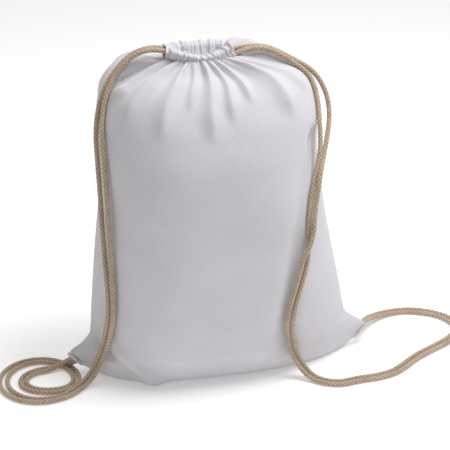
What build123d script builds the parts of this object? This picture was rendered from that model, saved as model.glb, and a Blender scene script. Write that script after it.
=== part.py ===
"""A filled drawstring backpack: two cloth panels, a gathered mouth and two doubled cord straps.

Millimetres. +Z is up, the front faces -Y and the wearer's back faces +Y. The origin is on the
floor under the middle of the bag, with the straps left out of that box.
"""
import math
import os

from build123d import *

os.makedirs("parts", exist_ok=True)

# ---- driving dimensions -------------------------------------------------------------------
cloth = 1.6               # wall of each panel; the real cotton is about 0.5 thick
cord_size = 5.5           # diameter of the braided cord
strand_gap = 1.2          # from the end of a gathered channel to the cord that leaves it
neck_height = 358.0       # where the gathers end and the drawcord channels begin
lip_gap = 0.4             # running gap under the front lip, which can be pulled forward
channel_height = 25.0
channel_thickness = 10.0
channel_bore_width = 6.8
channel_bore_height = 13.6
cord_level = 15.0         # middle of the two cords above the channel's lower edge
cord_pitch = 6.4          # between the two cords that share a channel
mouth_x = -20.0           # the gathered mouth sits left of the middle
shoulder_x = -11.0        # middle of the shoulder under it
lip_half_length = 36.0
lip_bow = 13.5            # from the mouth's middle plane to the middle of each lip
lip_end = 6.5             # the same at the lip's two ends
thread = 0.8
seam_half = 1.2           # half the thickness where the two cloths lie together
seam_strip = 10.0         # width of the sewn allowance inside the bag
strip_half = 1.0          # half its thickness
bottom_seam_length = 236.0
tack_reach = 4.0          # how far a corner tack stands off the cut corner
corner_low = (158.0, 10.0)    # the cut bottom corner runs from here, as (x, z)
corner_high = (174.0, 26.0)   # to here

# The slit at each end of the channels: a wedge that is wide beside the mouth and ends in a point
slit_start = 26.0         # from the middle of the mouth to the wedge's wide end
slit_end = 96.0           # from the middle of the shoulder to its point
slit_half = 8.0           # half its width beside the mouth
slit_depth = 60.0         # how far below the neck it can cut

# Cross-sections of the filled bag, from the base up. edge shapes the two sides: below 1 they
# are round, and above 1 they close to a flat fin, which is how the bottom corners stick out.
# lean makes the left side fuller than the right. fin is how far the two cloths lie together.
# (height, half width, half depth, edge, centre x, lean, fin)
sections = [
    (0, 138, 42, 0.80, 0, 0.25, 2),
    (10, 158, 55, 1.10, 0, 0.22, 3),
    (26, 174, 66, 1.35, 0, 0.18, 5),
    (36, 162, 72, 1.10, 0, 0.16, 3),
    (50, 149, 79, 0.80, -1, 0.14, 1),
    (90, 143, 88, 0.68, -3, 0.10, 0),
    (150, 135, 94, 0.60, -6, 0.05, 0),
    (210, 127, 95, 0.55, -8, 0.00, 0),
    (262, 123, 91, 0.55, -11, 0.00, 0),
    (300, 121, 80, 0.55, -12, 0.00, 0),
    (330, 111, 62, 0.55, -12, 0.00, 0),
    (346, 92, 44, 0.55, shoulder_x, 0.00, 0),
    (352, 70, 30, 0.55, -14, 0.00, 0),
    (neck_height, 38, 18, 0.50, mouth_x, 0.00, 0),
]
roundness = 2.6           # how square a cross-section's front and back are
curve_steps = 16          # points along each side's curve
low_rows = 3              # rows whose inner face is lifted off the floor by the cloth
high_rows = 4             # rows whose inner face is lowered under the shoulder by the cloth

# The straps' routes, from the channel down to the bottom corner. Each row is a point midway
# between the strap's two strands, and the way from there to the back strand. The front strand
# is as far the other way.
left_strap_route = [
    ((-76, 0, 380), (0, 3.3, 0)),
    ((-96, 2, 373), (0, 3.3, 0)),
    ((-115, 0, 354), (-0.5, 3.4, 0)),
    ((-129, -7, 330), (-1.6, 4.6, -1.0)),
    ((-136, -19, 298), (-2.4, 5.4, -1.0)),
    ((-135, -26, 263), (-2.8, 6.5, 0)),
    ((-134, -32, 228), (-2.8, 6.5, 0)),
    ((-134, -39, 191), (-2.8, 6.0, 0)),
    ((-133, -45, 155), (-2.8, 5.2, 0)),
    ((-132, -50, 123), (-2.6, 3.7, 0)),
    ((-132, -50, 92), (-2.6, 2.5, 0)),
    ((-137, -42, 58), (-2.5, 2.2, 0)),
    ((-144, -32, 29), (-2.5, 2.2, 0)),
    ((-152, -30, 11), (-2.5, 2.2, 0)),
    ((-165, -38, 3), (-2.5, 2.2, 0)),
    ((-182, -55, 3), (-2.1, 2.6, 0)),
]
right_strap_route = [
    ((34, 1, 374), (0, 3.4, 0)),
    ((55, 3, 371), (0, 3.3, 0)),
    ((79, 4, 356), (0.5, 3.4, 0.5)),
    ((103, 0, 340), (2.6, 4.2, 1.0)),
    ((114, -9, 318), (6.5, 9.5, 0)),
    ((114, -21, 294), (8.5, 13.5, -1.0)),
    ((108, -40, 270), (6.0, 8.5, 0)),
    ((101, -60, 250), (3.0, -1.4, 0)),
    ((97, -70, 229), (1.6, -2.9, 0)),
    ((91, -77, 207), (-1.0, -3.1, 0)),
    ((85, -82, 183), (-2.7, -1.9, 0)),
    ((77, -86, 157), (-3.0, -1.4, 0)),
    ((69, -88, 131), (-3.1, -1.0, 0)),
    ((62, -87, 106), (-3.2, -0.6, 0)),
    ((60, -84, 81), (-3.3, 0, 0)),
    ((62, -78, 57), (-3.3, 0, 0)),
    ((69, -71, 34), (-3.2, -0.6, 0)),
    ((78, -67, 16), (-2.8, -1.8, 0)),
    ((90, -74, 4), (-2.4, -2.2, 0)),
    ((103, -87, 3), (-1.9, -2.7, 0)),
    ((120, -93, 3), (0.1, -3.3, 0)),
    ((141, -88, 3), (0.4, -3.2, 0)),
    ((163, -87, 3), (0.1, -3.3, 0)),
    ((184, -81, 3), (1.5, -2.9, 0)),
    ((201, -68, 3), (2.3, -2.3, 0)),
    ((219, -51, 3), (2.1, -2.5, 0)),
    ((242, -36, 3), (1.7, -2.8, 0)),
    ((267, -21, 3), (1.9, -2.7, 0)),
    ((286, -3, 3), (2.9, -1.6, 0)),
    ((292, 19, 3), (3.3, 0.2, 0)),
    ((285, 41, 3), (2.7, 1.9, 0)),
    ((267, 57, 3), (1.8, 2.8, 0)),
    ((244, 66, 3), (0.7, 3.2, 0)),
    ((221, 65, 3), (-0.8, 3.2, 0)),
    ((201, 54, 6), (-1.9, 2.7, -0.2)),
    ((186, 38, 11), (-2.4, 2.0, -0.8)),
    ((175, 20, 15), (-2.4, 1.0, -2.0)),
    ((167.4, 2.75, 16.6), (-2.3, 0, -2.3)),
]
limp_radius = 3 * cord_size

# The loose coil on the floor at the left corner, as (centre x, centre y, half width, half depth)
coil_outer = (-210.0, -17.0, 48.5, 55.0)
coil_hole = (-198.0, -18.0, 24.0, 17.5)
coil_height = 6.0
crossing_height = 12.0    # where the inner turn passes under the outer one
crossing_spot = (-184.0, 18.0, 18.0)  # x, y and radius of that place
tail_start = (-176.0, 9.0, 7.0)       # where its two ends rise to the corner, midway between them
tail_slope = (-0.6, 0.0, 0.8)         # the way from the front strand's end to the back one's there


# ---- the filled bag's shape ---------------------------------------------------------------
def side_curve(row, inset):
    """The front curve of one cross-section, from left to right, as points."""
    height, half_width, half_depth, edge, centre, lean, fin = row
    wide = half_width - (inset + fin if inset else 0)
    deep = half_depth - inset
    flat = seam_half if not inset else seam_half / 3
    points = []
    for step in range(curve_steps + 1):
        share = -math.cos(math.pi * step / curve_steps)
        depth = deep * (1 - abs(share) ** roundness) ** edge * (1 - lean * share)
        points.append((centre + wide * share, -depth - flat, height))
    return points


def cross_section(row, inset=0.0):
    """A closed outline: a curve in front, a curve behind and a short flat at each side."""
    front = side_curve(row, inset)
    back = [(x, -y, z) for x, y, z in reversed(front)]
    sides = [Line(front[-1], back[0]), Line(back[-1], front[0])]
    return Wire([Spline(*front), sides[0], Spline(*back), sides[1]])


def inner_rows():
    """The same rows for the inside, lifted off the floor and lowered under the shoulder."""
    rows = []
    for index, row in enumerate(sections):
        lift = 0.0
        if index < low_rows:
            lift = cloth
        if index >= len(sections) - high_rows:
            lift = -cloth
        rows.append((row[0] + lift,) + row[1:])
    rows.append((neck_height + cloth,) + sections[-1][1:])
    return rows


def bag_shell():
    outside = Solid.make_loft([cross_section(row) for row in sections], True)
    inside = Solid.make_loft([cross_section(row, cloth) for row in inner_rows()], True)
    return outside - inside


def side_slit(side):
    """The open slit at each end of the channels, as a wedge to be cut out of the shoulder."""
    wide_x = mouth_x + side * slit_start
    point_x = shoulder_x + side * slit_end
    wedge = make_face(Polyline(
        (wide_x, -slit_half), (point_x, 0), (wide_x, slit_half), close=True))
    return Pos(0, 0, neck_height - slit_depth) * extrude(wedge, amount=slit_depth + channel_height)


def panel(shell, side):
    """The front panel (side -1) or the back panel (side 1)."""
    room = 2 * neck_height
    half = Pos(0, side * room / 2, 0) * Box(room, room, 2 * room)
    return shell & half


# ---- the gathered mouth -------------------------------------------------------------------
sagitta = lip_bow - lip_end
lip_radius = (lip_half_length ** 2 + sagitta ** 2) / (2 * sagitta)
lip_angle = math.degrees(math.asin(lip_half_length / lip_radius))


def lip_arc(side, radius):
    centre = (mouth_x, side * (lip_bow - lip_radius))
    return CenterArc(centre, radius, 90 * side - lip_angle, 2 * lip_angle)


def lip_band(side, radius, thickness, base, height):
    """An upright band that follows the front lip (side -1) or the back lip (side 1)."""
    outer = lip_arc(side, radius + thickness / 2)
    inner = lip_arc(side, radius - thickness / 2)
    face = make_face([outer, inner, Line(outer @ 0, inner @ 0), Line(outer @ 1, inner @ 1)])
    return Pos(0, 0, base) * extrude(face, amount=height)


def channel(side, base):
    """The turned-down hem that holds the cords, gathered short along them."""
    bore_base = base + cord_level - channel_bore_height / 2
    tube = lip_band(side, lip_radius, channel_thickness, base, channel_height)
    return tube - lip_band(side, lip_radius, channel_bore_width, bore_base, channel_bore_height)


def channel_stitch(side, base):
    """The row of thread that closes the channel, on its outer face."""
    stitch_rise = 3.0
    radius = lip_radius + channel_thickness / 2 + thread / 2
    return lip_band(side, radius, thread, base + stitch_rise, thread)


channel_base = neck_height + lip_gap
left_cord_height = channel_base + cord_level + cord_pitch / 2
right_cord_height = channel_base + cord_level - cord_pitch / 2


def tube_along(path, diameter=cord_size):
    start = Plane(origin=path @ 0, z_dir=path % 0)
    return sweep(start * Circle(diameter / 2), path=path)


def cord_run(side, height):
    """The part of a cord inside one channel."""
    return tube_along(Pos(0, 0, height) * lip_arc(side, lip_radius))


def cord_turn(end, height):
    """The loop that takes a cord out of one channel's end and back into the other's."""
    tilt = math.radians(lip_angle)
    start_x = mouth_x + end * (lip_half_length + strand_gap)
    start_y = lip_end - strand_gap * math.tan(tilt)
    radius = start_y / math.cos(tilt)
    centre = (start_x - end * radius * math.sin(tilt), 0)
    half_turn = 90 - lip_angle
    middle = 0 if end > 0 else 180
    arc = CenterArc(centre, radius, middle - half_turn, 2 * half_turn)
    return tube_along(Pos(0, 0, height) * arc)


# ---- seams and corners --------------------------------------------------------------------
def side_seam(side):
    """The sewn allowance inside one side, from above the corner up to the slit."""
    outer, inner = [], []
    clear, strip_room = 1.0, 2 * strip_half
    for height, half_width, half_depth, edge, centre, lean, fin in inner_rows()[3:11]:
        share_of_depth = (strip_room - seam_half / 3) / ((half_depth - cloth) * (1 - lean))
        share = (1 - share_of_depth ** (1 / edge)) ** (1 / roundness)
        reach = (half_width - cloth - fin) * share - clear
        outer.append((centre + side * reach, height))
        inner.append((centre + side * (reach - seam_strip), height))
    outline = Polyline(*outer, *reversed(inner), close=True)
    return extrude(Plane.XZ * make_face(outline), amount=strip_half, both=True)


def bottom_seam():
    """The sewn allowance that stands up inside the bag along the bottom."""
    return Pos(0, 0, cloth + seam_strip / 2) * Box(bottom_seam_length, 2 * strip_half, seam_strip)


def corner_tack(side):
    """The band of stitching along a cut bottom corner, which holds the two cord ends."""
    step = tack_reach / math.sqrt(2)
    low = (side * corner_low[0], corner_low[1])
    high = (side * corner_high[0], corner_high[1])
    far_high = (high[0] + side * step, high[1] - step)
    far_low = (low[0] + side * step, low[1] - step)
    band = make_face(Polyline(low, high, far_high, far_low, close=True))
    return extrude(Plane.XZ * band, amount=cord_size / 2, both=True)


# ---- the straps ---------------------------------------------------------------------------
def strand_points(end, height, route, way):
    """One strand's points: its exit from the channel, then its side of the strap's route.
    way is 1 for the back strand and -1 for the front one."""
    tilt = math.radians(lip_angle)
    exit_x = mouth_x + end * (lip_half_length + strand_gap * math.cos(tilt))
    exit_y = way * (lip_end - strand_gap * math.sin(tilt))
    points = [Vector(exit_x, exit_y, height)]
    for middle, offset in route:
        points.append(Vector(*middle) + Vector(*offset) * way)
    return points


def strand(name, points):
    """A cord's tube: straight runs joined by arcs as large as the runs allow."""
    radii = []
    for before, here, after in zip(points, points[1:], points[2:]):
        turn = math.radians((here - before).get_angle(after - here))
        shorter = min((here - before).length, (after - here).length)
        radii.append(0.45 * shorter / math.tan(turn / 2))
    path = FilletPolyline(*points, radius=radii)
    tube = tube_along(path)
    section = math.pi * cord_size ** 2 / 4
    share = tube.volume / (section * path.length)
    print(f"{name}: length {path.length:.0f}, volume share {share:.3f},",
          f"least radius {min(radii):.1f} of at least {limp_radius:.1f}",
          [round(radius) for radius in radii])
    return tube


def ellipse_disc(place, height):
    x, y, half_width, half_depth = place
    return extrude(Pos(x, y, 0) * Ellipse(half_width, half_depth), amount=height)


def coil():
    """The outer shape of the left strap's loose coil: a low ring, thicker where it crosses."""
    x, y, radius = crossing_spot
    ring = ellipse_disc(coil_outer, coil_height) - ellipse_disc(coil_hole, coil_height)
    return ring + extrude(Pos(x, y, 0) * Circle(radius), amount=crossing_height)


def tails():
    """The last of both left strands, from the coil up to the left corner's tack."""
    step = tack_reach / math.sqrt(2)
    middle = Vector(-(corner_low[0] + corner_high[0]) / 2 - step, 0,
                    (corner_low[1] + corner_high[1]) / 2 - step)
    along = Vector(-1, 0, 1).normalized() * cord_pitch / 2
    root = Vector(*tail_start)
    spread = Vector(*tail_slope) * cord_pitch / 2
    return Compound([
        tube_along(Line(middle + along * way, root + spread * way)) for way in (-1, 1)])


# ---- build --------------------------------------------------------------------------------
shell = bag_shell()
for side in (-1, 1):
    shell -= side_slit(side)

nodes = {
    "front_panel": panel(shell, -1),
    "back_panel": panel(shell, 1),
    "front_channel": channel(-1, channel_base),
    "back_channel": channel(1, channel_base),
    "front_channel_stitch": channel_stitch(-1, channel_base),
    "back_channel_stitch": channel_stitch(1, channel_base),
    "left_side_seam": side_seam(-1),
    "right_side_seam": side_seam(1),
    "bottom_seam": bottom_seam(),
    "left_corner_tack": corner_tack(-1),
    "right_corner_tack": corner_tack(1),
    "left_cord_front_run": cord_run(-1, left_cord_height),
    "left_cord_back_run": cord_run(1, left_cord_height),
    "left_cord_turn": cord_turn(1, left_cord_height),
    "right_cord_front_run": cord_run(-1, right_cord_height),
    "right_cord_back_run": cord_run(1, right_cord_height),
    "right_cord_turn": cord_turn(-1, right_cord_height),
    "left_strap_coil": coil(),
    "left_strap_tails": tails(),
}
straps = [
    ("left_strap", -1, left_cord_height, left_strap_route),
    ("right_strap", 1, right_cord_height, right_strap_route),
]
for strap, end, height, route in straps:
    for strand_side, way in (("front", -1), ("back", 1)):
        name = f"{strap}_{strand_side}_strand"
        nodes[name] = strand(name, strand_points(end, height, route, way))

for name, shape in nodes.items():
    export_step(shape, f"parts/{name}.step")
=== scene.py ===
"""The looks of a filled drawstring backpack: white cotton, gathered mouth, two doubled cord straps.

Metres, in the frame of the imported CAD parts: +Z is up and the bag's front faces -Y.
"""
import math

import bmesh
import bpy
import numpy as np
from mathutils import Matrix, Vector, noise
from mathutils.kdtree import KDTree


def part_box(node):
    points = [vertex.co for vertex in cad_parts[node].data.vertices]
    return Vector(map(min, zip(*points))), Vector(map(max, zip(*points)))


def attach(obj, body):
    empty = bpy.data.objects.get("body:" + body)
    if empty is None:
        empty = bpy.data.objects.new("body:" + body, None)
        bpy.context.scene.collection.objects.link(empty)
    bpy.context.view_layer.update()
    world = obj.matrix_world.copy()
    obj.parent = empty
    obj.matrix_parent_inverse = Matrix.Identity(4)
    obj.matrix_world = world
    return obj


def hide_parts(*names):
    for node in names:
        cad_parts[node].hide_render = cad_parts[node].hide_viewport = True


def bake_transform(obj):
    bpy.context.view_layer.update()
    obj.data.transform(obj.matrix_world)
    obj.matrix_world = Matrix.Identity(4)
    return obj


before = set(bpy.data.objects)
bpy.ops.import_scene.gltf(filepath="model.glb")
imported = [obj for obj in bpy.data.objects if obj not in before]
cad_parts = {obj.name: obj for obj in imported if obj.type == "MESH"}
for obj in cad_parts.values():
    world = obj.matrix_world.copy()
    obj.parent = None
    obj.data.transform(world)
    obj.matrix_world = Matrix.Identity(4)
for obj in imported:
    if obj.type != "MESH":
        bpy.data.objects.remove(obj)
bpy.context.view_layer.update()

# ---- driving dimensions ----
# Throughout, side is -1 for the front and 1 for the back, and end is -1 for the left and 1 for
# the right.
mm = 0.001
flat_panel = (0.356, 0.457)  # each panel as it is cut
hem_length = 0.05  # its part above the neck, turned down to make the channel
cloth_thickness = 0.8 * mm
cord_size = 5.5 * mm
cord_pitch = 6.4 * mm  # between two cords that lie side by side
neck_height = 0.358  # where the gathers end and the drawcord channels begin
mouth_x = sum(corner.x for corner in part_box("front_channel")) / 2
lip_half_length = 0.036
lip_bow = 0.0135  # from the mouth's middle plane to the middle of each lip
lip_end = 0.0065  # the same at the lip's two ends
sagitta = lip_bow - lip_end
lip_radius = (lip_half_length ** 2 + sagitta ** 2) / (2 * sagitta)
lip_angle = math.asin(lip_half_length / lip_radius)
ends = (("left", -1), ("right", 1))
cord_height = {end: sum(corner.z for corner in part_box(f"{name}_cord_front_run")) / 2
               for name, end in ends}
strand_gap = 1.2 * mm  # how far outside a lip's end its cords come out
inside_drop = 2.5 * mm  # how far the cords sink as they enter a channel
inside_share = 0.74  # along half a lip, where a strap's strand takes over from the run
cord_sag = {-1: 0.0085, 1: 0.0022}  # of the front and back lip's cords between their ends


# ---- materials ----
class Surface:
    """A material with one Principled shader, and short ways to add to its nodes."""

    def __init__(self, name, roughness, sheen=0.0):
        self.material = bpy.data.materials.new(name)
        self.material.use_nodes = True
        self.nodes, self.links = self.material.node_tree.nodes, self.material.node_tree.links
        self.shader = self.nodes["Principled BSDF"]
        self.set("Roughness", roughness)
        self.set("Sheen Weight", sheen)
        self.set("Specular IOR Level", 0.25)

    def set(self, socket, value):
        self.shader.inputs[socket].default_value = value

    def feed(self, socket, source):
        self.links.new(source, self.shader.inputs[socket])

    def place(self):
        return self.nodes.new("ShaderNodeTexCoord").outputs["Object"]

    def flat_place(self):
        """Where a point lies on the flat cut, in metres."""
        node = self.nodes.new("ShaderNodeUVMap")
        node.uv_map = "weave"
        return node.outputs["UV"]

    def across_and_along(self, place):
        node = self.nodes.new("ShaderNodeSeparateXYZ")
        self.links.new(place, node.inputs[0])
        return node.outputs["X"], node.outputs["Y"]

    def math(self, operation, *values):
        node = self.nodes.new("ShaderNodeMath")
        node.operation = operation
        for socket, value in zip(node.inputs, values):
            if isinstance(value, (int, float)):
                socket.default_value = value
            else:
                self.links.new(value, socket)
        return node.outputs[0]

    def weighted_sum(self, *parts, start=0.0):
        for source, weight in parts:
            start = self.math("MULTIPLY_ADD", source, weight, start)
        return start

    def noise(self, coordinates, scale, detail=3.0):
        node = self.nodes.new("ShaderNodeTexNoise")
        node.inputs["Scale"].default_value = scale
        node.inputs["Detail"].default_value = detail
        self.links.new(coordinates, node.inputs["Vector"])
        return node.outputs["Fac"]

    def colour_by(self, tone, stops):
        """The base colour, from stops of (tone, (red, green, blue)), lowest first."""
        ramp = self.nodes.new("ShaderNodeValToRGB")
        elements = ramp.color_ramp.elements
        for position, _ in stops[1:-1]:
            elements.new(position)
        for element, (position, colour) in zip(elements, stops):
            element.position = position
            element.color = (*colour, 1)
        self.links.new(tone, ramp.inputs["Fac"])
        self.feed("Base Color", ramp.outputs["Color"])

    def bump_by(self, height, strength, distance):
        node = self.nodes.new("ShaderNodeBump")
        node.inputs["Strength"].default_value = strength
        node.inputs["Distance"].default_value = distance
        self.links.new(height, node.inputs["Height"])
        self.feed("Normal", node.outputs["Normal"])


def cloth_material():
    """Plain-woven cotton: threads over and under, slubs, faint mottling and a soft sheen."""
    thread_pitch = 0.55 * mm
    surface = Surface("white_cotton", 0.82, sheen=0.25)
    surface.set("Sheen Roughness", 0.4)
    flat = surface.flat_place()
    waves = [surface.math("SINE", surface.math("MULTIPLY", place, math.pi / thread_pitch))
             for place in surface.across_and_along(flat)]
    over_under = surface.math("MULTIPLY", *waves)
    slub = surface.noise(flat, 220.0, 2.0)
    mottle = surface.noise(surface.place(), 26.0, 4.0)
    tone = surface.weighted_sum((slub, 0.45), (mottle, 1.0), (over_under, 0.08))
    surface.colour_by(tone, [(0.45, (0.63, 0.62, 0.645)), (1.0, (0.68, 0.67, 0.70))])
    surface.feed("Roughness", surface.weighted_sum((slub, 0.16), start=0.74))
    surface.bump_by(surface.weighted_sum((over_under, 1.0), (slub, 2.5)), 0.35, 0.00012)
    return surface.material


def cord_material():
    """Braided natural cotton: tan yarns, painted shade in the grooves, fine fibres along them."""
    surface = Surface("cord_cotton", 0.8, sheen=0.3)
    ridge = surface.nodes.new("ShaderNodeAttribute")
    ridge.attribute_name = "ridge"
    place = surface.place()
    yarn, stain = surface.noise(place, 300.0), surface.noise(place, 35.0)
    # Painted shade: the colour darkens to a deep brown down in the grooves between the raised yarns,
    # where shade falls.
    height = surface.math("POWER", ridge.outputs["Fac"], 1.8)
    tone = surface.weighted_sum((height, 0.62), (yarn, 0.42), (stain, 0.25))
    surface.colour_by(tone, [
        (0.25, (0.20, 0.125, 0.075)), (0.62, (0.43, 0.32, 0.225)), (0.98, (0.66, 0.57, 0.45))])
    surface.bump_by(surface.noise(place, 1600.0, 2.0), 0.4, 0.0002)
    return surface.material


def overlock_material():
    """A raw cotton edge under the slanting loops of an overlock stitch."""
    loop_pitch, slant = 2.4 * mm, 0.35
    surface = Surface("overlocked_edge", 0.85, sheen=0.2)
    flat = surface.flat_place()
    across, along = surface.across_and_along(flat)
    turns = surface.math("MULTIPLY", surface.weighted_sum((across, slant), start=along),
                         2 * math.pi / loop_pitch)
    loops = surface.math("POWER", surface.math("ABSOLUTE", surface.math("SINE", turns)), 2.0)
    tone = surface.weighted_sum((loops, 0.6), (surface.noise(flat, 900.0), 0.4))
    surface.colour_by(tone, [(0.15, (0.66, 0.66, 0.67)), (0.85, (0.86, 0.86, 0.87))])
    surface.bump_by(tone, 0.5, 0.0004)
    return surface.material


def thread_material():
    """Twisted white sewing thread."""
    surface = Surface("white_thread", 0.55, sheen=0.15)
    twist = surface.noise(surface.place(), 900.0, 2.0)
    surface.colour_by(twist, [(0.3, (0.60, 0.60, 0.62)), (0.7, (0.72, 0.72, 0.74))])
    surface.bump_by(twist, 0.5, 0.0001)
    return surface.material


# ---- lines, tubes and meshes ----
def smoothstep(value, low, high):
    share = np.clip((value - low) / (high - low), 0, 1)
    return share * share * (3 - 2 * share)


def lengths_along(line):
    return np.concatenate([[0], np.cumsum(np.linalg.norm(np.diff(line, axis=0), axis=1))])


def even_points(line, count=None, step=None):
    """Evenly spaced points along a line, with their lengths: a count of them, or a step apart."""
    along = lengths_along(line)
    places = np.linspace(0, along[-1], count or int(along[-1] / step) + 1)
    return np.stack([np.interp(places, along, line[:, axis]) for axis in range(3)], axis=1), places


def search_tree(points):
    tree = KDTree(len(points))
    for index, point in enumerate(points):
        tree.insert(point, index)
    tree.balance()
    return tree


def numbered(rows, columns, first=0):
    """The numbers of a grid's points, row by row."""
    return np.arange(rows * columns).reshape(rows, columns) + first


def sheet_cells(index):
    """The four-sided faces of a sheet, from the numbers of its points."""
    return np.stack([index[:-1, :-1], index[:-1, 1:], index[1:, 1:], index[1:, :-1]],
                    axis=-1).reshape(-1, 4)


def tube_cells(index):
    """The four-sided faces between a tube's rings."""
    after = np.roll(index, -1, axis=1)
    return np.stack([index[:-1], after[:-1], after[1:], index[1:]], axis=-1).reshape(-1, 4).tolist()


def closed_tube(index):
    """The same with a flat face over each end."""
    return tube_cells(index) + [index[0, ::-1].tolist(), index[-1].tolist()]


def mesh_piece(name, vertices, faces, material):
    mesh = bpy.data.meshes.new(name)
    mesh.from_pydata(vertices, [], faces)
    mesh.shade_smooth()
    mesh.materials.append(material)
    piece = bpy.data.objects.new(name, mesh)
    bpy.context.scene.collection.objects.link(piece)
    return piece


# ---- cords ----
# The straps' routes in millimetres: each row is the x, y, z of a point midway between the strap's
# two strands and the way from there to the back strand. The front strand is as far the other way.
left_strap_route = [
    (-76, 0, 380, 0, 3.3, 0), (-96, 2, 373, 0, 3.3, 0), (-115, 0, 354, -0.5, 3.4, 0),
    (-129, -7, 330, -1.6, 4.6, -1), (-136, -19, 298, -2.4, 5.4, -1), (-135, -26, 263, -2.8, 6.5, 0),
    (-134, -32, 228, -2.8, 6.5, 0), (-134, -39, 191, -2.8, 6, 0), (-133, -45, 155, -2.8, 5.2, 0),
    (-132, -50, 123, -2.6, 3.7, 0), (-132, -50, 92, -2.6, 2.5, 0), (-137, -42, 58, -2.5, 2.2, 0),
    (-144, -32, 29, -2.5, 2.2, 0), (-152, -30, 11, -2.5, 2.2, 0), (-165, -38, 3, -2.5, 2.2, 0),
    (-182, -55, 3, -2.1, 2.6, 0),
]
right_strap_route = [
    (34, 1, 374, 0, 3.4, 0), (55, 3, 371, 0, 3.3, 0), (79, 4, 356, 0.5, 3.4, 0.5),
    (103, 0, 340, 2.6, 4.2, 1), (112, -9, 318, 7.2, 9.5, 0), (113, -21, 294, 9.5, 13.5, -1),
    (108, -36, 268, 5.3, 8.5, 0), (99, -53, 248, 1.6, -2.6, 0), (92.5, -62, 227, 2.8, -1.4, 0),
    (88, -70, 205, 2.7, -1.7, 0), (85, -77, 181, 2, -2.8, 0), (82, -80, 168, -0.6, -3.5, 0),
    (78, -82, 155, -3.5, -1, 0), (72.5, -83, 129, -3.3, -1, 0), (65.5, -82, 104, -3.3, -0.6, 0),
    (62, -79, 79, -3.3, 0, 0), (65, -73, 55, -3.3, 0, 0), (71.5, -66, 32, -3.2, -0.6, 0),
    (80, -65, 15, -2.8, -1.8, 0), (90, -74, 4, -2.4, -2.2, 0), (103, -87, 3, -1.9, -2.7, 0),
    (120, -93, 3, 0.1, -3.3, 0), (141, -88, 3, 0.4, -3.2, 0), (163, -87, 3, 0.1, -3.3, 0),
    (184, -81, 3, 1.5, -2.9, 0), (201, -68, 3, 2.3, -2.3, 0), (219, -51, 3, 2.1, -2.5, 0),
    (242, -36, 3, 1.7, -2.8, 0), (267, -21, 3, 1.9, -2.7, 0), (286, -3, 3, 2.9, -1.6, 0),
    (292, 19, 3, 3.3, 0.2, 0), (285, 41, 3, 2.7, 1.9, 0), (267, 57, 3, 1.8, 2.8, 0),
    (244, 66, 3, 0.7, 3.2, 0), (221, 65, 3, -0.8, 3.2, 0), (201, 54, 6, -1.9, 2.7, -0.2),
    (186, 38, 11, -2.4, 2, -0.8), (175, 20, 15, -2.4, 1, -2), (166.8, 0.4, 17.2, -2.3, 0, -2.3),
]
# The loose coil at the left corner: an outer turn, then a smaller one inside it, then the tail
# up to the corner. Its turns are (centre x, centre y, half width, half depth) in millimetres.
coil_outer = (-209, -16, 42, 47)
coil_inner = (-200, -18, 29, 25)
coil_start, coil_end, coil_step = -70, -648, 17  # degrees, clockwise from above
coil_shrinks = (200, 400)  # degrees over which the outer turn becomes the inner one
coil_loosens = 1.2 * mm  # the outer turn's strands spread by this much on its left
floor_cord = 3.0 * mm  # a cord's middle above the floor
coil_tail = [
    (-181, 12, 4.5, -2, -1.6, 1.6), (-174.5, 8.5, 9, -2.2, -0.4, 2.4),
    (-166.8, 0.2, 17.2, -2.3, 0, 2.3),
]


def route_in_metres(rows):
    """A route as pairs of a middle point and the way to the back strand."""
    return [(Vector(row[:3]) * mm, Vector(row[3:]) * mm) for row in rows]


def coil_route():
    """The coil's turns as such pairs: the outer turn shrinks into the inner one."""
    rows = []
    for angle in range(coil_start, coil_end, -coil_step):
        inner = float(smoothstep(coil_start - angle, *coil_shrinks))
        x, y, wide, deep = (mm * (outer_value + (inner_value - outer_value) * inner)
                            for outer_value, inner_value in zip(coil_outer, coil_inner))
        turn = math.radians(angle)
        normal = Vector((math.cos(turn) / wide, math.sin(turn) / deep, 0)).normalized()
        apart = cord_pitch / 2 + coil_loosens * max(0.0, -math.cos(turn)) * (1 - inner)
        middle = Vector((x + wide * math.cos(turn), y + deep * math.sin(turn), floor_cord))
        rows.append((middle, -normal * apart))
    return rows


def channel_end(end, side):
    """Where a cord leaves a channel."""
    x = mouth_x + end * (lip_half_length + strand_gap * math.cos(lip_angle))
    y = side * (lip_end - strand_gap * math.sin(lip_angle))
    return Vector((x, y, cord_height[end]))


def lip_arc_point(side, share, height):
    """A point on a gathered lip. share runs from -1 at its left end to 1 at its right end."""
    turn = share * lip_angle
    return Vector((mouth_x + lip_radius * math.sin(turn),
                   side * (lip_bow - lip_radius * (1 - math.cos(turn))), height))


def smooth_line(points):
    """The points along the smooth line of a cord that is laid through a route's points."""
    curve = bpy.data.curves.new("route", "CURVE")
    curve.dimensions = "3D"
    curve.resolution_u = 10
    spline = curve.splines.new("NURBS")
    spline.points.add(len(points) - 1)
    for control, point in zip(spline.points, points):
        control.co = (*point, 1)
    spline.order_u = 3
    spline.use_endpoint_u = True
    holder = bpy.data.objects.new("route", curve)
    mesh = bpy.data.meshes.new_from_object(holder)
    line = np.array([vertex.co for vertex in mesh.vertices])
    bpy.data.meshes.remove(mesh)
    bpy.data.curves.remove(curve)
    return line


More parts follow.
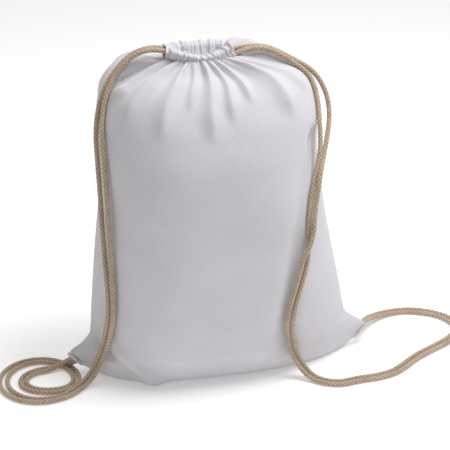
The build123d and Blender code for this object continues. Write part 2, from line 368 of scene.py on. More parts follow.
def braided_cord(name, points, material, twist=0.0):
    """A round braid along a route: crossing helical yarns that pass over and under."""
    around, ring_step = 24, 0.75 * mm
    yarns, plait = 4, 4.9 * mm  # yarns each way, and the length of one plait
    core, yarn_height = 0.80, 0.23  # shares of the cord's radius
    centres, along = even_points(smooth_line(points), step=ring_step)
    tangents = np.gradient(centres, axis=0)
    tangents /= np.linalg.norm(tangents, axis=1)[:, None]
    sides = np.zeros_like(centres)
    side = np.cross(tangents[0], (0.31, 0.17, 0.93))
    for ring, tangent in enumerate(tangents):
        side = side - tangent * (side @ tangent)
        side /= np.linalg.norm(side)
        sides[ring] = side
    ups = np.cross(tangents, sides)
    angles = np.linspace(0, 2 * math.pi, around, endpoint=False)
    theta, distance = np.meshgrid(angles + twist, along)
    turning = theta + 0.9 * np.sin(distance / 0.09)
    lean = 2 * math.pi * distance / plait
    over = 0.5 + 0.5 * np.cos(yarns * turning)
    right_hand = np.abs(np.cos((yarns * turning + lean) / 2)) ** 0.7 * (0.45 + 0.55 * over)
    left_hand = np.abs(np.cos((yarns * turning - lean) / 2)) ** 0.7 * (1.0 - 0.55 * over)
    ridge = np.maximum(right_hand, left_hand)
    unevenness = 1 + 0.025 * np.sin(distance / 0.013 + 2 * np.sin(distance / 0.031))
    radius = cord_size / 2 * (core + yarn_height * ridge) * unevenness
    rings = (centres[:, None] + (np.cos(theta) * radius)[..., None] * sides[:, None]
             + (np.sin(theta) * radius)[..., None] * ups[:, None])
    vertices = np.concatenate([rings.reshape(-1, 3), centres[[0, -1]]])
    index = numbered(len(centres), around)
    faces = tube_cells(index)
    for ring, middle in ((index[0, ::-1], index.size), (index[-1], index.size + 1)):
        faces += [(a, b, middle) for a, b in zip(ring.tolist(), np.roll(ring, -1).tolist())]
    piece = mesh_piece(name, vertices.tolist(), faces, material)
    # The yarns' height, which the cord material also turns into painted shade in the grooves.
    attribute = piece.data.attributes.new("ridge", "FLOAT", "POINT")
    attribute.data.foreach_set("value", np.append(ridge.ravel(), [0.5, 0.5]).astype(np.float32))
    return piece, centres


def strand_points(end, route, side):
    inside = lip_arc_point(side, end * inside_share, cord_height[end] - inside_drop)
    return [inside, channel_end(end, side)] + [middle + offset * side for middle, offset in route]


def add_straps(material):
    """Four strands, two to a strap, each of which starts along its own lip: the front ones along the
    front lip.
    """
    left_route = route_in_metres(left_strap_route) + coil_route() + route_in_metres(coil_tail)
    straps = [
        ("left_strap", -1, left_route, ["left_strap_coil", "left_strap_tails"], (0.92, 0.85)),
        ("right_strap", 1, route_in_metres(right_strap_route), [], (0.89, 0.95)),
    ]
    lines = []
    for strap, end, route, also, lengths in straps:
        for name, side, length in zip(("front", "back"), (-1, 1), lengths):
            points = strand_points(end, route, side)
            piece, line = braided_cord(f"{strap}_{name}_cord", points, material, twist=side * 0.4)
            lines.append(line)
            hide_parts(f"{strap}_{name}_strand", *also)
            if name == "back":
                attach(piece, "root")
            else:
                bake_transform(piece)
    return lines


def channel_cord_points(end):
    """A drawcord's way from its front exit through the front channel, round the mouth's far end
    and through the back channel to its back exit."""
    far_share, steps = 0.92, 8  # where the turn begins along half a lip, and a run's points
    turn_x = mouth_x - end * (lip_half_length - 4.5 * mm)
    turn_drop = 0.6 * mm if end < 0 else 0  # the left cord passes under the right one
    level = cord_height[end] - inside_drop
    runs = {-1: [], 1: []}
    for side, run in runs.items():
        for step in range(steps + 1):
            share = end * (inside_share - (inside_share + far_share) / steps * step)
            drop = cord_sag[side] * (1 - share ** 2) + turn_drop * step / steps
            run.append(lip_arc_point(side, share, level - drop))
    turn = [Vector((turn_x - end * out * mm, y * mm, level - turn_drop))
            for out, y in ((1.2, -5.2), (3.0, 0), (1.2, 5.2))]
    return runs[-1] + turn + runs[1][::-1]


def add_channel_cords(material):
    """Both drawcords inside the channels."""
    names = []
    for name, end in ends:
        piece, _ = braided_cord(f"{name}_channel_cord", channel_cord_points(end), material)
        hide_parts(f"{name}_cord_front_run", f"{name}_cord_turn", f"{name}_cord_back_run")
        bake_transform(piece)
        names.append(piece.name)
    return names


# ---- the bag's cloth ----
# At a panel's edge, way is the way inwards: 1 at its left edge and -1 at its right.
# Cross-sections of the filled bag, from the base up, in millimetres. edge shapes the two sides:
# below 1 they are round, and above 1 they close to a flat fin, as at the bottom corners. lean
# makes the left side fuller than the right.
# (height, half width, half depth, edge, centre x, lean)
sections = [
    (0, 146, 42, 0.80, 1, 0.25),
    (10, 160, 55, 1.10, 0, 0.22),
    (26, 174, 66, 1.35, 0, 0.18),
    (36, 161, 72, 1.10, 0, 0.16),
    (46, 149, 77, 0.85, -1, 0.14),
    (90, 141, 88, 0.68, -4, 0.10),
    (150, 132, 95, 0.60, -8, 0.05),
    (210, 123, 96, 0.55, -10, 0),
    (262, 120, 92, 0.55, -13, 0),
    (300, 120, 80, 0.55, -12.5, 0),
    (330, 111, 62, 0.55, -12, 0),
    (346, 92, 44, 0.55, -11, 0),
    (352, 70, 30, 0.55, -14, 0),
    (358, 38, 18, 0.50, -20, 0),
]
roundness = 2.9  # how square a cross-section's front and back are
straight_rows = 4  # rows up to this one are joined by straight lines: the cut corners
rows_under, rows_up, columns = 6, 74, 80  # cells of the simulated cloth
refine = 3  # each of those cells becomes this many, each way
contents_hold = 0.20  # how firmly the contents hold the cloth, from 0 to 1
cotton = {"quality": 6, "mass": 0.15, "tension_stiffness": 20, "compression_stiffness": 12,
          "shear_stiffness": 6, "bending_stiffness": 2.0, "shrink_min": -0.03,
          "use_pressure": True, "uniform_pressure_force": 0.8, "vertex_group_mass": "held"}
simulated_frames = 16
most_travel = 9 * mm  # of the cloth in the simulation
broad_rounds = 14  # of softening, after which only the broad waves are left
neck_rise = {-1: 0.0095, 1: 0.0065}  # by side: how far the gathers climb to the channels
floor_gap = 0.6 * mm  # from the floor to the middle of the lowest cloth
seam_inset = 18  # millimetres that the bottom seam stops short of the base's sides
under_length = 0.3  # flat cloth under the base, as a share of the seam's half length
corner_band = [(157.2, 9.2), (174.8, 26.8)]  # a cut corner's ends: x and height in millimetres
slit_start, slit_end, slit_half = 0.026, 0.096, 0.003
shoulder_x = -0.011  # midway between the two shoulders
slit_hem = 0.02  # of flat cloth turned in along a slit
stitch_row = 4  # of a channel's profile, where it is sewn down
allowance_thickness = 1.0 * mm


def monotone_curve(places, knots, values):
    """A smooth curve through the values at the knots that doesn't overshoot between them."""
    gaps, rises = np.diff(knots), np.diff(values) / np.diff(knots)
    slopes = np.zeros(len(knots))
    slopes[0], slopes[-1] = rises[0], rises[-1]
    for k in range(1, len(knots) - 1):
        if rises[k - 1] * rises[k] > 0:
            slopes[k] = 2 / (1 / rises[k - 1] + 1 / rises[k])
    cell = np.clip(np.searchsorted(knots, places) - 1, 0, len(gaps) - 1)
    gap = gaps[cell]
    t = (places - knots[cell]) / gap
    return ((1 + 2 * t) * (1 - t) ** 2 * values[cell] + t * (1 - t) ** 2 * gap * slopes[cell]
            + t * t * (3 - 2 * t) * values[cell + 1] + t * t * (t - 1) * gap * slopes[cell + 1])


def section_rows():
    """The cloth's rows from the bottom seam to the neck, in millimetres as in the sections, and
    how far each is below the neck."""
    table = np.array(sections, float)
    steps = np.sqrt(np.diff(table[:, 0]) ** 2 + np.diff(table[:, 2]) ** 2
                    + (np.diff(table[:, 1]) / 2) ** 2)
    knots = np.concatenate([[0], np.cumsum(steps)])
    places = np.linspace(0, knots[-1], rows_up + 1)
    rows = np.stack([monotone_curve(places, knots, column) for column in table.T], axis=1)
    straight = places < knots[straight_rows]
    rows[straight, 1] = np.interp(rows[straight, 0], table[:, 0], table[:, 1])
    under = np.repeat(rows[:1], rows_under, axis=0)
    inwards = np.linspace(0, 1, rows_under, endpoint=False)
    under[:, 1] -= seam_inset * (1 - inwards)
    under[:, 2] *= inwards
    below_neck = np.concatenate([
        knots[-1] + under[0, 1] * under_length * np.linspace(1, 0, rows_under, endpoint=False),
        knots[-1] - places])
    return np.concatenate([under, rows]), below_neck * mm


def slit_gap(x):
    """Half the opening of the slit at each end of the channels, at x."""
    from_shoulder = np.sign(x - mouth_x) * (x - shoulder_x)
    gap = slit_half * np.clip((slit_end - from_shoulder) / (slit_end - slit_start), 0, 1)
    return np.where(np.abs(x - mouth_x) > slit_start, gap, 0)


def panel_start(rows, side):
    """The filled shape of one panel as rows of points, evenly spaced across each row."""
    share = -np.cos(np.linspace(0, math.pi, 401))
    grid = np.zeros((len(rows), columns + 1, 3))
    for index, (height, half_width, half_depth, edge, centre, lean) in enumerate(rows):
        x = (centre + half_width * share) * mm
        depth = half_depth * (1 - np.abs(share) ** roundness) ** edge * (1 - lean * share) * mm
        if half_width * mm < slit_end:
            depth = np.maximum(depth, slit_gap(x))
        line = np.stack([x, side * depth, np.full_like(x, height * mm)], axis=1)
        grid[index] = even_points(line, count=columns + 1)[0]
    grid[..., 2] = np.maximum(grid[..., 2], floor_gap)
    return grid


def softened(field, rounds):
    for _ in range(rounds):
        wider = np.pad(field, 1, mode="edge")
        field = (wider[:-2, 1:-1] + wider[2:, 1:-1] + wider[1:-1, :-2] + wider[1:-1, 2:]) / 4
    return field


def contents_grip(heights):
    """How firmly each point of a panel is held while the bag is filled. 1 can't move."""
    held = np.full((len(heights), columns + 1), contents_hold)
    held[:rows_under + 1] = 1
    held[-1] = 1
    held[-2] = 0.6
    corner_rows = (heights > 0.004) & (heights < 0.034)
    for column in range(4):
        held[corner_rows, column] = held[corner_rows, -1 - column] = 1 - column / 5
    return held


def fill_with_contents(points, faces, held):
    """Where the points are after a cloth simulation with spare cloth and soft pressure inside."""
    mesh = bpy.data.meshes.new("filling_cloth")
    mesh.from_pydata(points.tolist(), [], faces.tolist())
    cloth = bpy.data.objects.new("filling_cloth", mesh)
    scene = bpy.context.scene
    scene.collection.objects.link(cloth)
    group = cloth.vertex_groups.new(name="held")
    for vertex, weight in enumerate(held):
        group.add([vertex], float(weight), "REPLACE")
    modifier = cloth.modifiers.new("cloth", "CLOTH")
    modifier.collision_settings.use_collision = False
    modifier.settings.effector_weights.gravity = 0.15
    for setting, value in cotton.items():
        setattr(modifier.settings, setting, value)
    for frame_number in range(1, simulated_frames + 1):
        scene.frame_set(frame_number)
    shown = cloth.evaluated_get(bpy.context.evaluated_depsgraph_get())
    moved = np.array([vertex.co for vertex in shown.data.vertices])
    scene.frame_set(1)
    bpy.data.objects.remove(cloth)
    bpy.data.meshes.remove(mesh)
    return moved


def simulate(front, back, joined_rows, held):
    """Fills both panels, sewn together at the sides and the bottom, and keeps the broad waves."""
    front_index = numbered(*front.shape[:2])
    back_index = front_index + front_index.size
    back_index[0] = front_index[0]
    for column in (0, -1):
        back_index[joined_rows, column] = front_index[joined_rows, column]
    points = np.concatenate([front.reshape(-1, 3), back.reshape(-1, 3)])
    faces = np.concatenate([sheet_cells(front_index), sheet_cells(back_index)[:, ::-1]])
    used, faces = np.unique(faces, return_inverse=True)
    both_held = np.tile(held.ravel(), 2)[used]
    travel = np.zeros_like(points)
    travel[used] = fill_with_contents(points[used], faces.reshape(-1, 4), both_held) - points[used]
    shapes = []
    for index in (front_index, back_index):
        change = np.stack([softened(travel[index][..., k], broad_rounds) for k in range(3)], axis=-1)
        far = np.linalg.norm(change, axis=2)[..., None]
        change *= most_travel * np.tanh(far / most_travel) / np.maximum(far, 1e-9)
        shapes.append(points[index] + change * (1 - held ** 4)[..., None])
    return shapes


def refined(grid, axis):
    """The grid with each cell cut into equal parts along one axis, on smooth curves."""
    grid = np.moveaxis(grid, axis, 0)
    before = np.concatenate([2 * grid[:1] - grid[1:2], grid[:-1]])
    after = np.concatenate([grid[1:], 2 * grid[-1:] - grid[-2:-1]])
    finer = []
    for part in range(refine):
        t = part / refine
        p0, p1, p2, p3 = before[:-1], grid[:-1], grid[1:], after[1:]
        finer.append(0.5 * (2 * p1 + (p2 - p0) * t + (2 * p0 - 5 * p1 + 4 * p2 - p3) * t ** 2
                            + (3 * p1 - p0 - 3 * p2 + p3) * t ** 3))
    woven = np.stack(finer, axis=1).reshape(-1, *grid.shape[1:])
    return np.moveaxis(np.concatenate([woven, grid[-1:]]), 0, axis)


def outward_normals(grid, side):
    across, up = np.gradient(grid, axis=1), np.gradient(grid, axis=0)
    normal = np.cross(across, up) * -side
    return normal / np.maximum(np.linalg.norm(normal, axis=2), 1e-12)[..., None]


def fold_wave(across, folds, seed):
    """Uneven gathers across a panel, from -1 to 1, with rounded crests and tight grooves."""
    wobble = (0.9 * np.sin(5.1 * across + seed) + 1.3 * np.sin(27 * across + 2.3 * seed)
              + 0.8 * np.sin(61 * across + seed))
    wave = np.cos(2 * math.pi * folds * across + wobble)
    size = 0.75 + 0.25 * np.sin(17.0 * across + 1.7 * seed)
    return size * (1.4 * np.sqrt(0.5 + 0.5 * wave + 0.02) - 0.8)


# Long folds that run down from the gathers: (place across the panel, its tip above the floor and
# its height in millimetres, half width as a share of the panel)
front_folds = [
    (0.08, 326, 5.2, 0.020), (0.17, 306, 7.8, 0.030), (0.3, 296, 8.6, 0.030),
    (0.385, 326, 5.2, 0.018), (0.465, 294, 9.2, 0.028), (0.54, 312, 7.2, 0.022),
    (0.62, 330, 5.2, 0.018), (0.76, 308, 9.8, 0.034), (0.88, 328, 5.2, 0.024),
]
back_folds = [
    (0.07, 318, 3, 0.022), (0.16, 325, 3.5, 0.022), (0.27, 296, 4.5, 0.030),
    (0.37, 318, 3.5, 0.020), (0.5, 290, 5, 0.030), (0.6, 322, 3.5, 0.018),
    (0.71, 300, 4.5, 0.028), (0.83, 320, 3.5, 0.024), (0.93, 326, 3, 0.020),
]
# Fine gathers under the neck: (how many, height in millimetres, how far down they fade, how fast)
neck_gathers = [(21, 1.9, 0.016, 1.4), (10, 1.6, 0.034, 2)]
broad_gathers = 9  # broad folds of a channel's looser cloth
# A channel's crest by side: its middle and its rise to the ends in millimetres, and the power
lip_crest = {-1: (371.2, 11.0, 1.4), 1: (379.4, 1.0, 2)}
bulge_size, bulge_height = 0.075, 1.0 * mm


def gather_relief(across, below_neck, heights, folds, seed):
    """How far the gathers lift the cloth of a panel, by row and column."""
    down, place = below_neck[:, None], across[None]
    relief = sum(height * mm * fold_wave(place, count, seed + k) * np.exp(-(down / reach) ** power)
                 for k, (count, height, reach, power) in enumerate(neck_gathers))
    for middle, tip_height, lift, half_width in folds:
        tip = np.interp(-tip_height * mm, -heights[::-1], below_neck[::-1])
        left = np.clip(1 - down / tip, 0, 1)
        width = half_width * (0.30 + 0.95 * np.sqrt(np.clip(1 - (1 - 2 * left) ** 2, 0, 1)))
        shape = np.exp(-np.abs((place - middle) / width) ** 1.6)
        rise = smoothstep(left, 0, 0.30) * smoothstep(down, -0.004, 0.02)
        beside = np.exp(-((place - middle) / 0.06) ** 2)
        relief += lift * mm * rise * (shape - 0.25 * beside)
    return relief


def near_line(grid, points, width):
    """From 1 on a line through the points down to 0 beside it, fading out at its two ends."""
    line = even_points(points, step=2 * mm)[0]
    ends = smoothstep(np.minimum(np.arange(len(line)), np.arange(len(line))[::-1]), -1, 8)
    tree = search_tree(line)
    share = np.zeros(grid.shape[:2])
    low, high = line.min(axis=0) - 3 * width, line.max(axis=0) + 3 * width
    inside = ((grid > low) & (grid < high)).all(axis=2)
    for row, column in zip(*np.nonzero(inside)):
        _, index, distance = tree.find(grid[row, column])
        share[row, column] = ends[index] * math.exp(-(distance / width) ** 2)
    return share


# Creases pressed into the front, in millimetres: lines through points, and for each line its half
# width and its depth. A negative depth is a ridge.
right_valley = [(100, -37, 294), (92, -54, 262), (83, -70, 232), (77, -80, 195), (70, -85, 155),
                (62, -84, 105), (59, -75, 60), (66, -60, 28)]
left_corner_crease = [(-156, -3, 50), (-138, -29, 39), (-120, -39, 25.5), (-98, -42, 9)]
left_corner_ridge = [(-147, -20, 64), (-128, -45, 47), (-104, -50, 28), (-86, -50, 9)]
left_ear_crease = [(-170, -3, 32), (-156, -12, 36), (-140, -24, 39)]
left_base_corner = [(-104, -44, 10), (-88, -52, 6), (-70, -56, 8)]
left_hem_edge = [(-121, -4, 333), (-111, -18, 338), (-98, -28, 342)]
front_creases = [
    (right_valley, 12.5, 7.2), (left_corner_crease, 5.5, 5.8), (left_corner_ridge, 8, -4.2),
    (left_ear_crease, 4, 2), (left_hem_edge, 6, -3), (left_base_corner, 18, -6),
]


def pressed_by_cords(grid, normals, cord_lines):
    """How far inwards each point of a panel has to go to lie under the cords that rest on it."""
    clearance, reach, deepest = 0.6 * mm, 20 * mm, 16 * mm
    room = cord_size / 2 + cloth_thickness + clearance
    tree = search_tree(np.concatenate([points[::4] for points in cord_lines]))
    push = np.zeros(grid.shape[:2])
    for row, column in np.ndindex(*push.shape):
        place, normal = grid[row, column], normals[row, column]
        for point, _, distance in tree.find_range(place, reach):
            above = float((place - np.array(point)) @ normal)
            aside = math.sqrt(max(distance ** 2 - above ** 2, 0))
            if aside < room and above > -room:
                need = above + math.sqrt(room ** 2 - aside ** 2)
                push[row, column] = max(push[row, column], min(need, deepest))
    return push


def noise_grid(*places):
    """Smooth noise, about -1 to 1, over a grid of places from three sets of coordinates."""
    places = np.stack(np.broadcast_arrays(*places), axis=-1)
    values = [noise.noise(Vector(place)) for place in places.reshape(-1, 3)]
    return np.array(values).reshape(places.shape[:-1]) * 1.6


# Where the back's shoulders puff up behind the cords, in millimetres: (middle, radius, height)
back_puffs = [((-95, 30, 342), 36, 18), ((30, 28, 352), 34, 17.5)]


def finished_panel(coarse, down, heights, side, cord_lines):
    """The panel's fine surface: gathers, creases and puffs on the filled shape, under the cords."""
    grid = refined(refined(coarse, 0), 1)
    across = np.linspace(0, 1, grid.shape[1])
    normals = outward_normals(grid, side)
    below_gathers = smoothstep(down, 0, 0.018)[:, None]
    folds = front_folds if side < 0 else back_folds
    relief = gather_relief(across, down, heights, folds, 1.3 * side)
    bulges = noise_grid(*np.moveaxis(grid / bulge_size + (3 + side, 0, 0), -1, 0))
    relief += bulge_height * bulges * below_gathers
    relief *= 0.2 + 0.8 * smoothstep(np.minimum(across, 1 - across), 0, 0.03)[None]
    if side < 0:
        for points, width, depth in front_creases:
            relief -= depth * mm * near_line(grid, np.array(points) * mm, width * mm)
    grid = grid + normals * relief[..., None]
    if side > 0:
        for middle, radius, lift in back_puffs:
            far = np.linalg.norm(grid / mm - middle, axis=2) / radius
            grid = grid + normals * (lift * mm * np.exp(-far ** 2) * below_gathers)[..., None]
    normals = outward_normals(grid, side)
    push = pressed_by_cords(grid, normals, cord_lines)
    push = np.maximum(push, softened(push, 12) * 1.15)
    push = np.maximum(push, softened(push, 2)) * smoothstep(down, 0, 0.006)[:, None]
    grid = grid - normals * push[..., None]
    grid[..., 2] = np.maximum(grid[..., 2], floor_gap)
    uneven = 1 + 0.22 * noise_grid(across * 9, 0.0, 31 + side)
    grid[..., 2] += neck_rise[side] * np.exp(-(down / 0.024) ** 1.5)[:, None] * uneven
    return grid


def cloth_piece(name, patches, side, material, thickness=cloth_thickness):
    """A sheet of cloth with real thickness, from patches that meet along their edges. Each is a
    grid of points with its places on the flat cut, in metres."""
    points, faces, flat = [], [], []
    for grid, flat_across, flat_along in patches:
        index = numbered(*grid.shape[:2], sum(map(len, points)))
        cells = sheet_cells(index)
        faces.append(cells[:, ::-1] if side > 0 else cells)
        points.append(grid.reshape(-1, 3))
        places = np.broadcast_arrays(flat_across, flat_along, index)[:2]
        flat.append(np.stack(places, axis=-1).reshape(-1, 2))
    faces = np.concatenate(faces)
    piece = mesh_piece(name, np.concatenate(points).tolist(), faces.tolist(), material)
    layer = piece.data.uv_layers.new(name="weave")
    layer.data.foreach_set("uv", np.concatenate(flat)[faces.ravel()].astype(np.float32).ravel())
    if len(patches) > 1:
        joined = bmesh.new()
        joined.from_mesh(piece.data)
        bmesh.ops.remove_doubles(joined, verts=joined.verts, dist=1e-6)
        joined.to_mesh(piece.data)
        joined.free()
    solid = piece.modifiers.new("thickness", "SOLIDIFY")
    solid.thickness = thickness
    solid.offset = 1.0
    return piece


def ruffle_grid(panel_top, side):
    """A drawcord channel gathered along its cords: up the outside, over the top and down inside."""
    profile_rows = 34
    cord_room = cord_size / 2 + 1.0 * mm
    across = np.linspace(0, 1, len(panel_top))[None]
    way = np.linspace(0, 1, profile_rows + 1)[:, None]  # from the outside to the inside
    share = 2 * across - 1
    over = math.pi * smoothstep(way, 0.36, 0.64)
    rise = np.interp(way, [0, 0.42, 0.5, 0.58, 1], [0, 0.90, 1, 0.90, 0.12])
    at_ends = smoothstep(np.abs(share), 0.62, 1.0)
    loose = smoothstep(rise, 0, 0.75)

    # The gathers: fine and broad folds, crumples and the front lip's tufts at its left end
    wander = noise_grid(across * 7, way * 2.6, 5 + side) * 0.009
    fine = fold_wave(across + wander, neck_gathers[0][0], 1.3 * side)
    broad = fold_wave(across + 1.6 * wander, broad_gathers, 4 + side)
    crumple = noise_grid(across * 19, way * 4.0, 9 + side)
    tuft = noise_grid(across * 28, way * 6.0, 23.0) * smoothstep(-share, 0.45, 0.9) * (side < 0)
    crest = mm * (1.3 * (fine + 0.8) + loose * (
        1.1 * (broad + 0.8) + 0.7 * crumple + 1.2 * at_ends * (crumple + 0.3) + 1.6 * (tuft + 0.2)))

    # Out from the lip's line: round the cords, and closed in lower down inside
    radial = (cord_room + crest) * np.cos(over) * (1 - 0.55 * smoothstep(rise, 0.86, 1))
    radial -= 6.5 * mm * smoothstep(way, 0.6, 0.95)
    radial += 1.2 * mm * broad * loose * np.sin(over)

    # Up from the neck to the crests
    middle, to_ends, power = lip_crest[side]
    top = mm * (middle + to_ends * np.abs(share) ** power
                + 1.3 * fine + 1.3 * broad + 0.9 * crumple * (1 + at_ends) + 1.4 * tuft)
    base = neck_height + neck_rise[side] * (way < 0.5)
    height = base + rise * (top - base)

    # Along the lip, whose left end reaches out and whose right end is drawn in
    lean = 2.2 * mm * loose * noise_grid(across * 11, way * 2.0, 17 + side)
    turn = share * lip_angle + lean / lip_radius
    reach = lip_radius + radial
    end_reach = 3.0 * mm * smoothstep(-share, 0.80, 1)
    drawn_in = 6.0 * mm * smoothstep(share, 0.1, 1) * smoothstep(rise, 0, 0.5)
    x = mouth_x + reach * np.sin(turn) - end_reach - drawn_in
    y = side * (lip_bow - lip_radius + reach * np.cos(turn) - 0.8 * end_reach)
    grid = np.stack([softened(np.broadcast_to(axis, x.shape), 2) for axis in (x, y, height)], axis=-1)
    settle = smoothstep(way, 0, 0.14)[..., None]
    return panel_top[None] * (1 - settle) + grid * settle


def turned_in_hem(grid, normals, column, way):
    """The hem along a slit's edge, folded under the panel it belongs to."""
    points_under, under, rolled = 14, 1.7 * mm, 0.7 * mm
    columns_under = column + way * np.arange(points_under)
    layer = grid[:, columns_under] - normals[:, columns_under] * under
    edge = grid[:, column]
    roll = (edge + layer[:, 0]) / 2
    roll[:, 0] -= way * rolled
    return np.concatenate([edge[:, None], roll[:, None], layer[:, 1:]], axis=1)


def tucked_edge(own_edge, other_edge, way, depth):
    """The back panel's edge along a slit, in soft folds down and forwards under the front one."""
    forwards, fold_height, dropped, sinking = 6.5 * mm, 1.6 * mm, 3.0 * mm, 3.5 * mm
    inwards = np.linspace(0, 1, 12)[None]
    along = np.linspace(0, 1, len(own_edge))[:, None]
    started = smoothstep(along, 0, 0.15)
    to_other = (other_edge - own_edge)[:, None]
    strip = own_edge[:, None] + to_other * np.minimum(inwards * 1.35, 1)[..., None]
    strip[..., 1] -= forwards * smoothstep(inwards, 0.55, 1) * started
    folds = fold_height * depth * np.sin(3.2 * math.pi * inwards + 1.2 * np.sin(5 * along + way))
    drop = dropped * smoothstep(inwards, 0.5, 1) + sinking * depth * inwards
    strip[..., 2] += (folds * np.sin(math.pi * inwards) - drop) * started
    return strip


def stand_for(piece, node, body):
    """Hides the CAD node that a piece replaces, and makes the piece move with one body."""
    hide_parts(node)
    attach(piece, body)


def add_panel(name, side, panels, down, slit_row, material):
    """One side of the bag, with its edges turned in along the two slits."""
    grid = panels[side]
    width, length = flat_panel
    flat_along = (length - hem_length - down)[:, None]
    patches = [(grid, np.linspace(0, width, grid.shape[1])[None], flat_along)]
    for column, way, depth in ((0, 1, 1.0), (-1, -1, 0.25)):
        if side < 0:
            normals = outward_normals(grid, side)
            strip = turned_in_hem(grid[slit_row:], normals[slit_row:], column, way)
        else:
            strip = tucked_edge(grid[slit_row:, column], panels[-1][slit_row:, column], way, depth)
        over = np.linspace(0, slit_hem, strip.shape[1])[None]
        if way > 0:
            strip, over = strip[:, ::-1], over[:, ::-1]
        patches.append((strip, over, flat_along[slit_row:]))
    panel = cloth_piece(f"{name}_cloth", patches, side, material)
    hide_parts(f"{name}_panel")
    if side < 0:
        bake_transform(panel)
    else:
        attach(panel, "root")


def add_stitches(name, points, normals, material):
    """A row of short raised threads: one from each point to the next but one, then a gap."""
    radius, sunk, raised = 0.27 * mm, 0.1 * mm, 0.45 * mm
    around, rings = 6, 6
    vertices, faces = [], []
    for first in range(1, len(points) - 2, 3):
        start, finish, up = points[first], points[first + 2], normals[first + 1]
        along = (finish - start) / np.linalg.norm(finish - start)
        aside = np.cross(along, up)
        faces += closed_tube(numbered(rings, around, len(vertices)))
        for share in np.linspace(0, 1, rings):
            lift = math.sin(math.pi * share)
            centre = start + (finish - start) * share + up * (raised * lift - sunk)
            size = radius * (0.45 + 0.55 * lift)
            for angle in np.linspace(0, 2 * math.pi, around, endpoint=False):
                out = aside * math.cos(angle) + up * math.sin(angle)
                vertices.append(tuple(centre + out * size))
    return mesh_piece(name, vertices, faces, material)


def add_channel(name, side, body, panel_top, white, thread):
    """A gathered drawcord channel and the row of stitches that closes it."""
    rows = ruffle_grid(panel_top, side)
    width, length = flat_panel
    flat_across = np.linspace(0, width, rows.shape[1])[None]
    flat_along = np.linspace(length - hem_length, length, len(rows))[:, None]
    ruffle = cloth_piece(f"{name}_ruffle", [(rows, flat_across, flat_along)], side, white)
    stand_for(ruffle, f"{name}_channel", body)
    normals = outward_normals(rows, side)[stitch_row]
    line = rows[stitch_row] + normals * (cloth_thickness + 0.00005)
    stitches = add_stitches(f"{name}_hem_stitches", line, normals, thread)
    stand_for(stitches, f"{name}_channel_stitch", body)


def add_allowance(name, seam, along, out, reach, wave_height, wave_length, material):
    """The overlocked allowance inside a seam: a narrow strip that waves a little."""
    wide = np.linspace(2 * cloth_thickness, reach, 6)
    strip = seam[:, None] + wide[:, None] * np.array(out, float)
    strip[..., 1] += wave_height * np.sin(along / wave_length)[:, None] * wide / reach
    piece = cloth_piece(f"{name}_allowance", [(strip, wide[None], along[:, None])], 1,
                        material, allowance_thickness)
    stand_for(piece, f"{name}_seam", "root")


def add_allowances(front, back, seam_rows, material):
    """The allowances of the two side seams, up to the slits, and of the bottom seam."""
    for name, column, way in (("left_side", 0, 1), ("right_side", -1, -1)):
        seam = (front[seam_rows, column] + back[seam_rows, column]) / 2
        add_allowance(name, seam, lengths_along(seam), (way, 0, 0), 10 * mm, 0.6 * mm, 9 * mm, material)
    along = np.linspace(-118, 118, 120) * mm
    seam = np.stack([along, np.full_like(along, -0.5 * mm), np.zeros_like(along)], axis=1)
    add_allowance("bottom", seam, along, (0, 0, 1), 11.2 * mm, 0.7 * mm, 11 * mm, material)


def add_corner_stitching(name, end, material):
    """The band of close stitches along a cut bottom corner, thicker over the two cord ends."""
    low, high = (Vector((end * x, 0, height)) * mm for x, height in corner_band)
    out = Vector((end, 0, -1)).normalized()
    half_reach, half_thick, inset, over_cord = 2.2 * mm, 1.6 * mm, 0.8 * mm, 1.2 * mm
    stitch_pitch, stitch_height, ripple = 0.75 * mm, 0.16 * mm, 1.7 * mm
    rings, around = 150, 20
    vertices = []
    for share in np.linspace(0, 1, rings):
        distance = share * (high - low).length
        from_middle = abs(2 * share - 1)
        centre = low.lerp(high, share) + out * (half_reach - inset)
        closing = max(0.02, 1 - from_middle ** 14)
        thread = stitch_height * (abs(math.sin(math.pi * distance / stitch_pitch)) - 0.5)
        over_cords = over_cord * math.exp(-(from_middle / 0.62) ** 4)
        for angle in np.linspace(0, 2 * math.pi, around, endpoint=False):
            wave = 1 + 0.05 * math.sin(distance / ripple + 3 * angle)
            place = centre + out * math.cos(angle) * (half_reach * wave + thread) * closing
            place.y += math.sin(angle) * (half_thick * wave + thread + over_cords) * closing
            vertices.append(tuple(place))
    faces = closed_tube(numbered(rings, around))
    if end > 0:
        faces = [face[::-1] for face in faces]
    piece = mesh_piece(f"{name}_corner_stitching", vertices, faces, material)
    stand_for(piece, f"{name}_corner_tack", "root")


def sew_sides(front, back, slit_row):
    """Brings the two panels' edges together along the side seams, up to the slits."""
    reach = 10
    sewn = slice(0, slit_row + 1)
    for column, way in ((0, 1), (-1, -1)):
        seam = (front[sewn, column] + back[sewn, column]) / 2
        for grid in (front, back):
            shift = seam - grid[sewn, column]
            for step in range(reach):
                grid[sewn, column + way * step] += shift * (1 - step / reach) ** 2


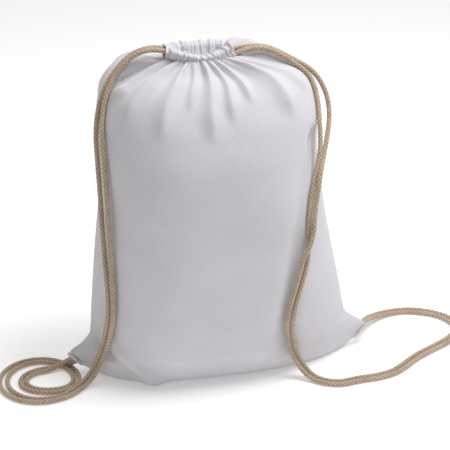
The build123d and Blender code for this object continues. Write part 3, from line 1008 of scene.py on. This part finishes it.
def add_bag(cord_lines, channel_cords):
    """The filled bag: its panels, gathered channels, stitches and seam allowances."""
    rows, below_neck = section_rows()
    heights = rows[:, 0] * mm
    joined_rows = rows[:, 1] * mm >= slit_end
    shapes = [panel_start(rows, side) for side in (-1, 1)]
    shapes = simulate(*shapes, joined_rows, contents_grip(heights))
    down, heights = refined(below_neck, 0), refined(heights, 0)
    panels = {side: finished_panel(shape, down, heights, side, cord_lines)
              for side, shape in zip((-1, 1), shapes)}
    slit_row = refine * np.flatnonzero(joined_rows)[-1]
    sew_sides(panels[-1], panels[1], slit_row)
    white, thread, overlocked = cloth_material(), thread_material(), overlock_material()
    for name, side, body in (("front", -1, "front_lip"), ("back", 1, "root")):
        add_panel(name, side, panels, down, slit_row, white)
        add_channel(name, side, body, panels[side][-1], white, thread)
    seam_rows = np.flatnonzero((heights > 0.045) & (np.arange(len(down)) < slit_row - 2))
    add_allowances(panels[-1], panels[1], seam_rows, overlocked)
    for name, end in ends:
        add_corner_stitching(name, end, thread)


# ---- camera and studio ----
view_azimuth, view_elevation = math.radians(-12), math.radians(24)
view_distance, view_lens, sensor_width = 2.0, 143.2, 36
view_target = Vector((0.006, 0, 0.167))
lamp_target = Vector((0, 0, 0.18))
floor_reach, floor_grey, floor_glow, sky_light = 8.0, 0.93, 0.21, 0.32
# (name, place, width, power, colour)
lamps = [
    ("key", (0.6, -0.25, 1.5), 0.8, 15.2, (0.97, 0.98, 1)),
    ("ceiling", (0, 0.6, 2.6), 3.0, 33, (1, 1, 1)),
]


def placed_at(name, data, place, target):
    """A camera or lamp in the scene that looks at a target."""
    thing = bpy.data.objects.new(name, data)
    thing.location = place
    thing.rotation_euler = (target - Vector(place)).to_track_quat("-Z", "Y").to_euler()
    bpy.context.scene.collection.objects.link(thing)
    return thing


def add_camera():
    away = Vector((math.sin(view_azimuth) * math.cos(view_elevation),
                   -math.cos(view_azimuth) * math.cos(view_elevation),
                   math.sin(view_elevation)))
    data = bpy.data.cameras.new("camera")
    data.sensor_width = sensor_width
    data.lens = view_lens
    place = view_target + away * view_distance
    bpy.context.scene.camera = placed_at("camera", data, place, view_target)


def add_studio():
    scene = bpy.context.scene
    scene.view_settings.view_transform = "Standard"
    scene.world = bpy.data.worlds.new("studio")
    scene.world.use_nodes = True
    sky = scene.world.node_tree.nodes["Background"]
    sky.inputs["Color"].default_value = (1, 0.98, 0.96, 1)
    sky.inputs["Strength"].default_value = sky_light
    surface = Surface("pale_floor", 0.9)
    surface.set("Base Color", (floor_grey, floor_grey, floor_grey, 1))
    surface.set("Emission Color", (1, 1, 1, 1))
    surface.set("Emission Strength", floor_glow)
    corners = [(x * floor_reach, y * floor_reach, 0) for x, y in ((-1, -1), (1, -1), (1, 1), (-1, 1))]
    mesh_piece("floor", corners, [(0, 1, 2, 3)], surface.material)
    for name, place, width, power, colour in lamps:
        data = bpy.data.lights.new(name, "AREA")
        data.size = width
        data.energy = power
        data.color = colour
        placed_at(name, data, place, lamp_target)


add_camera()
add_studio()
cord_cotton = cord_material()
strap_lines = add_straps(cord_cotton)
add_bag(strap_lines, add_channel_cords(cord_cotton))
